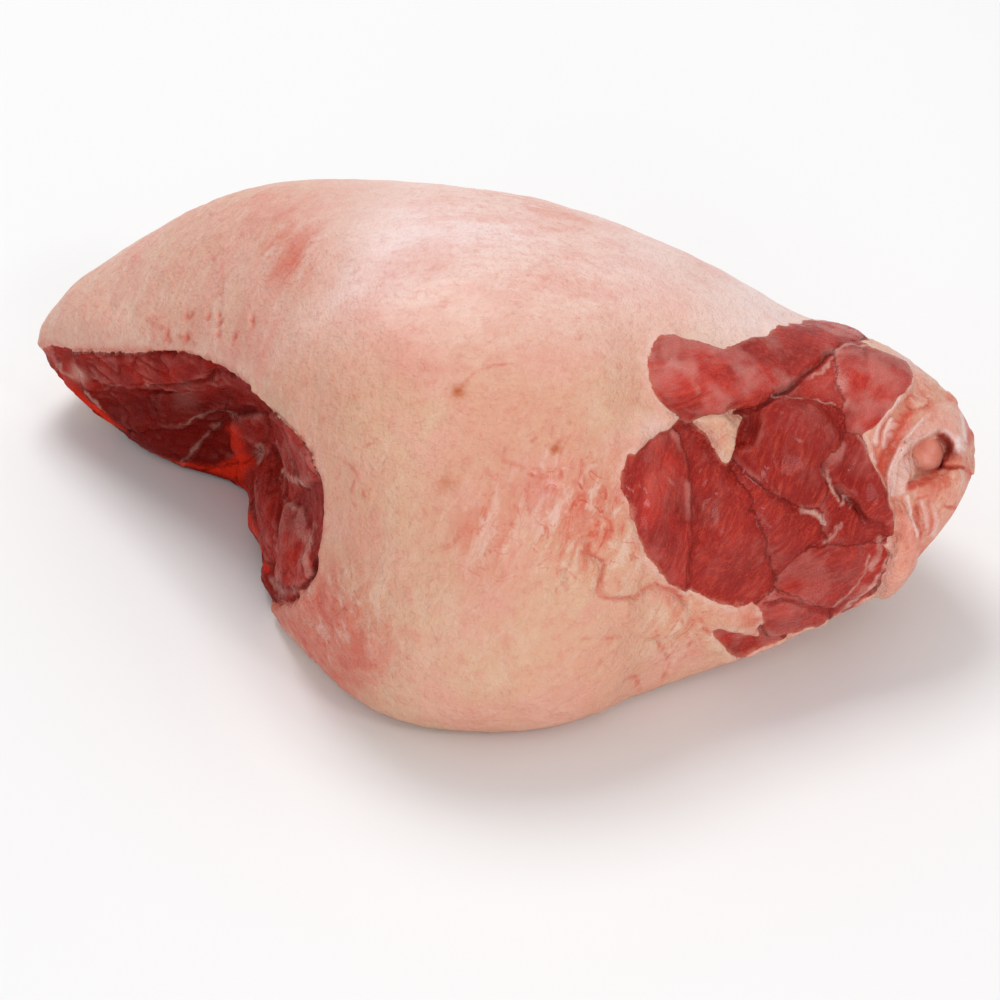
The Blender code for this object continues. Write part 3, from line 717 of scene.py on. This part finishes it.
def hipFaceMask(at):  # 1 on the red face between the rim of the fat and its foot
    s = np.linspace(0, 1, hipFace["along"])
    rim, foot, hollow = curveAt(hipRim, s), curveAt(hipFoot, s), curveAt(hipHollow, s)
    rise = np.linspace(0, 1, hipFace["upward"])
    plan = foot[:, None] + (rim[:, None, :2] - foot[:, None]) * rise[None, :, None]
    plan = plan + (hollow[:, None] * np.sin(math.pi * rise))[..., None] * math.sqrt(0.5)
    samples = np.concatenate([plan, (rim[:, None, 2] * rise)[..., None]], -1).reshape(-1, 3)
    rises = np.tile(rise, len(s))
    tree = KDTree(len(samples))
    for i, sample in enumerate(samples):
        tree.insert(sample, i)
    tree.balance()
    mask = np.zeros(len(at))
    for i in np.flatnonzero((at[:, 0] < ends["hipRim"]) & (at[:, 1] < 112)):
        _, index, distance = tree.find(at[i])
        mask[i] = float(distance < hipFace["reach"] and rises[index] < hipFace["top"])
    return mask


def glow(spots, places):  # strength of a table's soft round patches at each spot
    total = np.zeros(len(spots))
    for place, reach, strength in places:
        distance = np.linalg.norm(spots - np.array(place, float), axis=1)
        total = np.maximum(total, strength * np.exp(-((distance / reach) ** 2) * 1.5))
    return total


def dome(depth, edge):  # a pillow's profile: 0 at its outline, 1 from edge inward
    t = 1 - np.clip(depth / edge, 0, 1)
    return np.sqrt(np.maximum(1 - t * t, 0))


def roughSkin():  # the leg's solid with even quads and softened edges
    piece = bpy.data.objects.new("roughSkin", legNode.data.copy())
    scene.collection.objects.link(piece)
    remesh = piece.modifiers.new("skin", "REMESH")
    remesh.mode, remesh.voxel_size = "VOXEL", body["voxel"]
    smooth = piece.modifiers.new("soften", "SMOOTH")
    smooth.factor, smooth.iterations = 0.5, body["smoothings"]
    mesh = applyModifiers(piece)
    bpy.data.objects.remove(piece)
    return mesh


def refine(mesh, chosen):  # halves the faces whose points are all chosen
    work = bmesh.new()
    work.from_mesh(mesh)
    faces = [face for face in work.faces if all(chosen[v.index] for v in face.verts)]
    edges = list({edge for face in faces for edge in face.edges})
    bmesh.ops.subdivide_edges(work, edges=edges, cuts=1, use_grid_fill=True)
    work.to_mesh(mesh)
    work.free()
    mesh.update()


def facingEye(mesh):  # 1 where the skin looks straight at the eye, below 0 where it looks away
    return (normals(mesh) * unit(eye - points(mesh))).sum(1)


def drifted(spots, at, reach, size, seeds):  # places that wander by up to reach mm, as real edges do
    return spots + reach * np.stack([lumps(at, size, seed) for seed in seeds], -1)


def turned(spots, at, angle):  # along and across a direction of the front sheet, and the depth
    along = spots[:, 0] * np.cos(angle) + spots[:, 1] * np.sin(angle)
    across = spots[:, 1] * np.cos(angle) - spots[:, 0] * np.sin(angle)
    return np.stack([along, across, at @ sheetBack], -1)


def muscleRelief(at, spots, table, shown):  # heights of one face's muscles, and each point's share of deep red and of film, with painted shade and painted highlight at the seams, and its grain angle
    rows = list(table.values())
    depths = np.array([np.where(shown, insideBy(row[0], spots), -99.0) for row in rows])
    reliefs = np.zeros_like(depths)
    for number, (_, high, edge, lift, angle, _, _) in enumerate(rows):
        grown = depths[number] + body["grow"]
        turn = math.radians(angle)
        along = spots @ np.array([math.cos(turn), math.sin(turn)])
        across = spots @ np.array([-math.sin(turn), math.cos(turn)])
        strip = np.stack([along, across, np.full(len(at), 9.0 * number)], -1)
        folds = np.abs(lumps(strip, muscle["bundle"], 340 + number))
        folds += 0.5 * np.abs(lumps(strip, muscle["strand"], 360 + number))
        ripple = muscle["swell"] * layered(at + 40 * number, 11, 300 + number, 2)
        ripple = ripple - muscle["groove"] * np.exp(-folds * 5)
        ripple += muscle["fibreHigh"] * lumps(strip, muscle["fibre"], 320 + number)
        rise = lift * dome(grown, 2.0) + high * dome(grown, edge) + ripple * dome(grown, 3.5)
        reliefs[number] = np.where(grown > 0, rise, 0)
    everyone = np.arange(len(at))
    own = np.argmax(np.where(depths > -body["grow"], reliefs, -9), axis=0)
    others = depths.copy()
    others[own, everyone] = -99
    beside = np.argmax(others, axis=0)
    lift, turn, deep, film = (np.array([row[k] for row in rows], float) for k in (3, 4, 5, 6))
    step = lift[beside] - lift[own]
    gap = -others[beside, everyone]
    # painted shadow on a lower muscle beside a higher one, painted highlight along the higher one's edge,
    # painted shade along every muscle's edge
    shadow = smoothStep(step, 0, 1.0) * (1 - smoothStep(gap, 0, 5))
    lit = smoothStep(-step, 0, 0.8) * (1 - smoothStep(gap, 0.2, 1.8))
    edgeShade = muscle["edgeShade"] * (1 - smoothStep(depths[own, everyone], 0, 4))
    deep = deep[own] + edgeShade + muscle["shadow"] * shadow
    toneAndShade = np.stack([deep, film[own] + muscle["lit"] * lit, np.radians(turn[own])], -1)
    height = body["blend"] * np.log1p(np.expm1(reliefs / body["blend"]).sum(0))
    second, best = np.sort(depths, axis=0)[-2:]
    return best, second, height, toneAndShade


def nearRoute(spots, route, reach=4):  # mm from each spot to a smooth route
    way = curveAt(route, np.linspace(0, 1, 6 * len(route)))
    start, run = way[:-1], np.diff(way, axis=0)
    found = np.full(len(spots), 99.0)
    near = np.flatnonzero(((spots > way.min(0) - reach) & (spots < way.max(0) + reach)).all(1))
    rel = spots[near][:, None] - start
    t = np.clip((rel * run).sum(-1) / (run**2).sum(-1), 0, 1)
    found[near] = np.linalg.norm(rel - t[..., None] * run, axis=-1).min(1)
    return found


def painted(spots, table, soft=1.5):  # strength of a table's soft lines at each spot
    lines = [strong * (1 - smoothStep(nearRoute(spots, route), 0.4 * half, soft * half))
             for route, half, strong in table.values()]
    return np.max(lines, axis=0)


def nickPlaces():  # place, turn and size of each knife mark
    rng = np.random.default_rng(nicks["seed"])
    return [(rng.uniform(nicks["low"], nicks["high"]), rng.uniform(0.9, 2.0), rng.uniform(0.6, 1.3))
            for _ in range(nicks["count"])]


def nickMarks(spots):  # small knife marks in the flap's fat: a pit, and a raised edge
    pits, raised = np.zeros(len(spots)), np.zeros(len(spots))
    for place, turn, size in nickPlaces():
        rel = spots - place
        along = (rel @ (math.cos(turn), math.sin(turn))) / (nicks["long"] * size)
        across = (rel @ (-math.sin(turn), math.cos(turn))) / nicks["wide"]
        pits = np.maximum(pits, np.exp(-(along**2) - across**2))
        raised = np.maximum(raised, np.exp(-(along**2) - (across - 1.8) ** 2))
    return pits, raised


def nearMarks(spots):  # True where a vein, a spot or a nick needs a fine mesh
    near = np.min([nearRoute(spots, row[0]) for row in veins.values()], axis=0) < 2.5
    for place, _, _ in paintSpots["spot"] + nickPlaces():
        near |= np.linalg.norm(spots - place, axis=1) < 4
    return near


def nearTable(spots, table, margin):  # True on a table's outlines and a margin round them
    return np.max([insideBy(row[0], spots) for row in table.values()], axis=0) > -margin


def carved(at, spots):  # True on the cut faces and the knee, where the relief is finest
    found = nearTable(spots, shankMuscles, 1.5) & (at[:, 0] > 28)
    found |= nearTable(spots, hipMuscles, 1.5) & (at[:, 0] < ends["hip"])
    return found | (insideBy(kneeArea, spots) > -1)


def refinedSkin():  # finer over the front, and finest on the cut faces
    mesh = roughSkin()
    at = points(mesh)
    spots = onSheet(at)
    front = (facingEye(mesh) > 0.0) & (at[:, 2] > 3)
    plainTop = (spots[:, 1] > 50 - 0.25 * spots[:, 0]) & (spots[:, 0] > -70)
    refine(mesh, front & (~plainTop | nearTable(spots, shankMuscles, 4) | nearMarks(spots)))
    at = points(mesh)
    spots = onSheet(at)
    refine(mesh, (carved(at, spots) | nearMarks(spots)) & (facingEye(mesh) > -0.1) & (at[:, 2] > 2))
    at = evened(mesh, points(mesh), 12)
    calm = smoothStep(insideBy(kneeArea, onSheet(at)), 0, 4) * (at[:, 0] > ends["knee"])
    setPoints(mesh, at + (evened(mesh, at, 160) - at) * calm[:, None])
    return mesh


def kneeRise(spots):  # how far the knee's forms stand toward the eye
    rise = np.zeros(len(spots))
    for outline, high, edge in kneeForms.values():
        depth = insideBy(outline, spots)
        rise += high * (dome(depth, edge) if high > 0 else smoothStep(depth, 0, edge))
    for route, half, high in kneeLines.values():
        line = nearRoute(spots, route)
        rise += high * (dome(half - line, half) if high > 0 else 1 - smoothStep(line, 0, 1.6 * half))
    flat = np.stack([spots[:, 0], spots[:, 1], spots[:, 0] * 0], -1)
    return rise + kneeFinish["uneven"] * lumps(flat, (1.6, 3.5, 3), 91)


def towardEnd(at, name):  # strength of a mark that grows toward the knee's end of the leg
    strength, start, end = kneeEnd[name]
    return strength * smoothStep(at[:, 0], start, end)


def leanShare(at, spots, shank, hip):  # where red meat shows, with the lumps of fat that lie on it
    lean = smoothStep(shank[0], -2.0, 1.2) + (smoothStep(shank[1], -3.2, -2.4) * (shank[0] > -3.2))
    lean = np.clip(lean, 0, 1)
    lumpHeight, gristle = np.zeros(len(at)), np.zeros(len(at))
    lean = lean * (1 - smoothStep(insideBy(kneeArea, spots), -0.8, 0.8))
    for outline, high, edge, tone in fatLumps.values():
        depth = np.where(at[:, 0] > ends["shank"], insideBy(outline, spots), -99.0)
        lean = lean * (1 - smoothStep(depth, -1.0, 1.0))
        lumpHeight = np.maximum(lumpHeight, high * dome(depth, edge))
        gristle = np.maximum(gristle, tone * smoothStep(depth, -0.5, 1.5))
    return np.maximum(lean, hip), lumpHeight, gristle


def paintTones(mesh, at, straight, spots, hip, toneAndShade):  # where the colours of the material lie
    combed = turned(spots, at, combAngle)
    setVector(mesh, "grain", turned(spots, at, toneAndShade[:, 2]))
    setVector(mesh, "combed", combed)
    inward = fade(spots[:, 0], "hipInward") * fade(spots[:, 1], "hipBelow")
    flap = fade(spots[:, 0] - 0.4 * spots[:, 1], "flap")
    top = fade(spots[:, 1], "top")
    side = np.maximum(flap, 1 - fade(spots[:, 1], "side"))
    warped = at + np.stack([1.5 * lumps(at, 7, seed) for seed in (681, 682, 683)], -1)
    wide = layered(warped, (23, 6.5, 6), 751, 4) * (1 - side) + layered(combed, (20, 5, 5), 761, 4) * side
    tones = {
        # deep: each muscle's own deep red with painted shade at its edges and under higher muscles; film:
        # its own film with painted highlight on the edges of higher muscles
        "deep": evened(mesh, toneAndShade[:, 0], 1),
        "film": toneAndShade[:, 1],
        "shade": 0.52 * hip * inward,
        "side": side,
        "streaky": 0.20 + 0.70 * np.maximum(0.6 * flap, 0.8 * top),
        # warmer and darker toward the bottom of the front sheet, and on the flap: partly the fat's own tone,
        # partly painted shade
        "warm": np.maximum(1 - fade(straight[:, 1], "warm"), 0.8 * flap),
        "hip": hip,
        "milky": 1 - 0.75 * hip,
        "wide": 0.5 + 0.38 * wide,
    }
    for name, (size, seed, octaves) in noises.items():
        tones[name] = 0.5 + 0.38 * layered(warped, size, seed, octaves)
    for name, values in tones.items():
        setMask(mesh, name, values)


def paintMarks(mesh, at, straight, lean, hip, seen):  # stains, veins, films, juice with its painted reflection, painted shade in the knee's crevice and a painted highlight on the knee's nub
    wander = drifted(straight, at, 0.6, 4, (601, 602))
    ragged = drifted(straight, at, 1.0, 2.5, (621, 622))
    near = 0.4 * wander + 0.6 * straight
    marks = {name: glow(wander, places) for name, places in paintSpots.items()}
    broken = 0.55 + 0.45 * lumps(at, 3, 611)
    marks["sinew"] = np.maximum(painted(ragged, sinews) * np.clip(broken + 0.2, 0, 1), marks.pop("pale"))
    # juice with a painted reflection, along the hip's edges and at its foot
    marks["juiceSheen"] = hip * np.maximum(painted(wander, juiceSheenEdges), 1 - fade(at[:, 2], "wetFoot"))
    marks["vein"] = painted(wander, veins, 2.0) * broken
    knee = smoothStep(insideBy(kneeArea, straight), -1, 1) * (at[:, 0] > ends["knee"])
    film = kneeFinish["film"] * smoothStep(insideBy(kneeForms["film"][0], near), -0.4, 0.4)
    hood = kneeFinish["hood"] * smoothStep(insideBy(kneeForms["hood"][0], near), -0.4, 1.2)
    # painted shade in the knee's crevice
    marks["creviceShade"] = painted(near, kneeCreviceShade) * knee
    rim = smoothStep(evened(mesh, hip, 10), 0.04, 0.35) * (1 - hip)
    reds = [painted(near, kneeReds) * knee, 0.8 * nickMarks(straight)[0], 0.6 * rim]
    marks["raw"] = np.max([marks["raw"]] + reds, axis=0)
    fringe = smoothStep(evened(mesh, lean, 9), 0.04, 0.40) * (1 - lean) * (1 - knee)
    fringe = fringe * (at[:, 0] > ends["shank"])
    pale = knee * np.max([painted(near, kneeWhites), film, hood], axis=0)
    fringe = fringe * (0.30 + 0.25 * lumps(at, 2.5, 651))
    marks["silver"] = np.max([marks["silver"], pale, fringe], axis=0)
    marks["rosy"] = np.maximum(marks["rosy"], 0.15)
    marks = {name: values * seen for name, values in marks.items()}
    marks["rosy"] = np.maximum(marks["rosy"], towardEnd(at, "rosy"))
    for name, values in marks.items():
        setMask(mesh, name, values)


def fatRelief(at, straight, spots, front, beside, seen):  # swells, lumps, creases and nicks of the fat
    low = fade(spots[:, 0] - 0.9 * spots[:, 1], "creased") * front
    creases = 1 - smoothStep(np.abs(layered(at, (17, 17, 14), 21, 2)), 0, 0.14)
    creases *= smoothStep(lumps(at, 22, 23), -0.3, 0.3)
    folds = np.abs(layered(at, (9, 9, 14), 25, 2)) * glow(spots, paintSpots["raw"][:3])
    pits, raised = nickMarks(straight)
    shape = relief["swell"] * layered(at, 26, 5) + relief["lump"] * layered(at, 8, 6)
    shape -= relief["crease"] * creases * low + relief["fold"] * folds
    marked = relief["pore"] * lumps(at, 2.6, 9) - nicks["deep"] * pits + relief["nickEdge"] * raised
    uneven = relief["beside"] * layered(at, 6, 31, 2) + relief["besideFine"] * lumps(at, 3, 33)
    return shape + marked * seen + beside * seen * uneven


def hipShare(mesh, at, straight, spots, face):  # 1 on the hip's cut face
    hip = hipFaceMask(at) * fade(spots[:, 1] - 0.1 * spots[:, 0], "hipFoot")
    shown = (insideBy(hipOutline, straight) > 0) & (face > -0.1) & (at[:, 0] < ends["hipRim"])
    return smoothStep(evened(mesh, np.maximum(hip, shown), 6), 0.30, 0.70)


def raiseKnee(mesh, straight, spots, knee):  # moves the knee's forms out, and rests the leg flat
    moved = points(mesh)
    moved += unit(eye - moved) * (kneeRise(0.3 * spots + 0.7 * straight) * knee)[:, None]
    moved[:, 2] = np.where(moved[:, 2] < 0.4, 0.0, moved[:, 2])
    setPoints(mesh, moved)
    return moved


def paintHollows(mesh, moved, carvedHere, cleftShade):  # painted shade in the hollows of the cut faces, painted highlight on crests
    hollow = ((evened(mesh, moved, 9) - moved) * normals(mesh)).sum(1)
    fine = evened(mesh, carvedHere.astype(float), 3)
    setMask(mesh, "crease", np.maximum(0.10 * fine * np.clip(hollow / 0.30, 0, 1), cleftShade))
    setMask(mesh, "crest", fine * np.clip(-hollow / 0.18, 0, 1))


def useHipMaterial(mesh, hip):  # the duller material on the faces of the hip's cut
    mesh.materials.append(hipMaterial)
    corners = np.empty(len(mesh.polygons), np.int32)
    mesh.polygons.foreach_get("loop_start", corners)
    verts = np.empty(len(mesh.loops), np.int32)
    mesh.loops.foreach_get("vertex_index", verts)
    mesh.polygons.foreach_set("material_index", (hip[verts[corners]] > 0.6).astype(np.int32))


def makeLegBody():
    mesh = refinedSkin()
    at = points(mesh)
    face = facingEye(mesh)
    seen = smoothStep(face, -0.1, 0.15)
    straight = onSheet(at)
    spots = drifted(drifted(straight, at, 1.0, 8, (501, 511)), at, 0.6, 3, (502, 512))
    hip = hipShare(mesh, at, straight, spots, face)
    shank = muscleRelief(at, spots, shankMuscles, (at[:, 0] > ends["shank"]) & (face > -0.2))
    rump = muscleRelief(at, spots, hipMuscles, (at[:, 0] < ends["hip"]) & (hip > 0.4))
    lean, lumpHeight, gristle = leanShare(at, spots, shank, hip)
    inner = evened(mesh, lean, 4)
    lip = smoothStep(evened(mesh, lean, 24), 0.02, 0.40) * (1 - inner)
    beside = smoothStep(evened(mesh, lean, 60), 0.03, 0.20) * (at[:, 0] > ends["shank"])
    fat = fatRelief(at, straight, spots, face > 0, beside, seen) + lumpHeight
    shape = fat * (1 - inner) + body["lip"] * lip
    shape += inner * (np.maximum(shank[2], rump[2]) - body["faceSunk"])
    wrinkled = np.exp(-5 * np.abs(layered(at, (9, 9, 5), 27, 2)))
    shape += hip * seen * (relief["hipLump"] * layered(at, 6, 29, 3) - relief["hipWrinkle"] * wrinkled)
    # each cleft is cut into the relief and darkened with painted shade
    cleftShade = np.zeros(len(at))
    for route, half, deep in gaps.values():
        line = (1 - smoothStep(nearRoute(spots, route), 0, 2.2 * half)) * seen
        shape -= deep * line
        cleftShade = np.maximum(cleftShade, line)
    shape += relief["sinew"] * painted(spots, sinews, 2.5) * seen
    knee = smoothStep(insideBy(kneeArea, spots), -1, 1) * seen * (at[:, 0] > ends["knee"])
    hood = smoothStep(insideBy(kneeForms["hood"][0], spots), -0.5, 1)
    tough = knee * (kneeFinish["gristle"] + kneeFinish["hoodGristle"] * hood)
    tough = np.maximum(tough, towardEnd(at, "gristle"))
    swell(mesh, shape * fade(at[:, 2], "flatRest"))
    moved = raiseKnee(mesh, straight, spots, knee)
    wrinkles = smoothStep(wrinkled, 0.55, 0.95) * fade(spots[:, 0], "hipWrinkled")
    # painted shade in the hip's wrinkles as well
    cleftShade = np.maximum(cleftShade, 0.6 * hip * wrinkles) * (0.75 - 0.33 * lean)
    setMask(mesh, "lean", lean)
    setMask(mesh, "gristle", np.maximum(gristle, tough))
    paintHollows(mesh, moved, carved(at, straight), cleftShade)
    toneAndShade = np.where((rump[0] > shank[0])[:, None], rump[3], shank[3])
    paintTones(mesh, moved, straight, spots, hip, toneAndShade)
    paintMarks(mesh, moved, straight, lean, hip, seen)
    piece = newPiece("legBody", mesh, legMaterial)
    useHipMaterial(mesh, hip)
    return piece


legBody = makeLegBody()
print("leg body ready:", len(legBody.data.polygons), "faces")


def onSkin(spot):  # the place on the leg that a spot of the front sheet shows
    data = legBody.data
    skin = BVHTree.FromPolygons([v.co for v in data.vertices], [p.vertices for p in data.polygons])
    start = Vector(eye * mm)
    target = Vector((aim + sheetRight * spot[0] + sheetUp * spot[1]) * mm)
    place = skin.ray_cast(start, (target - start).normalized())[0] or skin.find_nearest(target)[0]
    return np.array(place) / mm


cartilage = {
    "spot": (133.0, 14.4), "sizes": (6.8, 7.2, 4.4), "sunk": 0.5, "rings": 36, "around": 48, "uneven": 0.5,
    "colours": ((0.76, 0.31, 0.23), (0.66, 0.22, 0.16), (0.80, 0.42, 0.33)),
}


def makeCartilageMaterial():
    material, tree, shader = startMaterial("cartilage")
    place = node(tree, "TexCoord").outputs["Object"]
    light, dark, pale = cartilage["colours"]
    mottled = grainNoise(tree, place, 160, 4, 0.6, 0.5)
    colour = blendColour(tree, remap(tree, mottled, 0.38, 0.62), light, dark)
    patches = grainNoise(tree, place, 64, 3, 0.6)
    colour = blendColour(tree, remap(tree, patches, 0.50, 0.72, 0, 0.5), colour, pale)
    tree.links.new(colour, shader.inputs["Base Color"])
    setGloss(shader, "gristle")
    bumpMap(tree, shader, mottled, 0.0006, 0.6)
    return material


def makeCartilage():
    place = onSkin(cartilage["spot"])
    outward = unit(eye - place)
    turn = np.array(Vector(outward).to_track_quat("Z", "Y").to_matrix())
    tilts = math.pi * (np.arange(cartilage["rings"]) + 0.5)[:, None] / cartilage["rings"]
    roll = 2 * math.pi * np.arange(cartilage["around"]) / cartilage["around"]
    ball = np.broadcast_arrays(np.sin(tilts) * np.cos(roll), np.sin(tilts) * np.sin(roll), -np.cos(tilts))
    rings = np.stack(ball, -1) * cartilage["sizes"]
    mesh = gridMesh(rings @ turn.T + place - outward * cartilage["sunk"])
    swell(mesh, cartilage["uneven"] * layered(points(mesh), 6, 71))
    newPiece("kneeCartilage", mesh, makeCartilageMaterial())


makeCartilage()
print("knee ready")

studio = {"floor": 6.0, "world": 0.62}
lights = {  # place, size, power, target
    "key": ((-0.2, 0.45, 1.25), 0.6, 8.5, (0, 0, 0.05)),
    "fill": ((0.35, -1.3, 0.25), 0.5, 5.5, (0, 0, 0)),
    "spark": ((0.65, -0.85, 0.95), 0.15, 1.6, (0, 0, 0.05)),
}


def makeFloor():
    mesh = bpy.data.meshes.new("floor")
    h = studio["floor"] / 2
    mesh.from_pydata([(-h, -h, 0), (h, -h, 0), (h, h, 0), (-h, h, 0)], [], [(0, 1, 2, 3)])
    floor = bpy.data.objects.new("floor", mesh)
    scene.collection.objects.link(floor)
    material, _, shader = startMaterial("paleFloor")
    shader.inputs["Base Color"].default_value = (0.86, 0.86, 0.86, 1)
    shader.inputs["Roughness"].default_value = 0.6
    mesh.materials.append(material)


def addLight(name, place, size, power, target):
    light = bpy.data.objects.new(name, bpy.data.lights.new(name, "AREA"))
    light.data.size, light.data.energy = size, power
    light.location = place
    light.rotation_euler = (Vector(target) - Vector(place)).to_track_quat("-Z", "Y").to_euler()
    scene.collection.objects.link(light)


def makeStudio():
    for name, row in lights.items():
        addLight(name, *row)
    world = bpy.data.worlds.new("studio")
    world.use_nodes = True
    background = world.node_tree.nodes["Background"].inputs
    background["Color"].default_value = (1, 1, 1, 1)
    background["Strength"].default_value = studio["world"]
    scene.world = world
    scene.view_settings.view_transform = "Standard"


def makeCamera():
    camera = bpy.data.objects.new("camera", bpy.data.cameras.new("camera"))
    camera.location = Vector(eye * mm)
    camera.rotation_euler = Vector(-sheetBack).to_track_quat("-Z", "Y").to_euler()
    camera.data.lens = camera.data.sensor_width * view["distance"] / view["width"]
    scene.collection.objects.link(camera)
    scene.camera = camera


makeFloor()
makeStudio()
makeCamera()
print("studio ready")
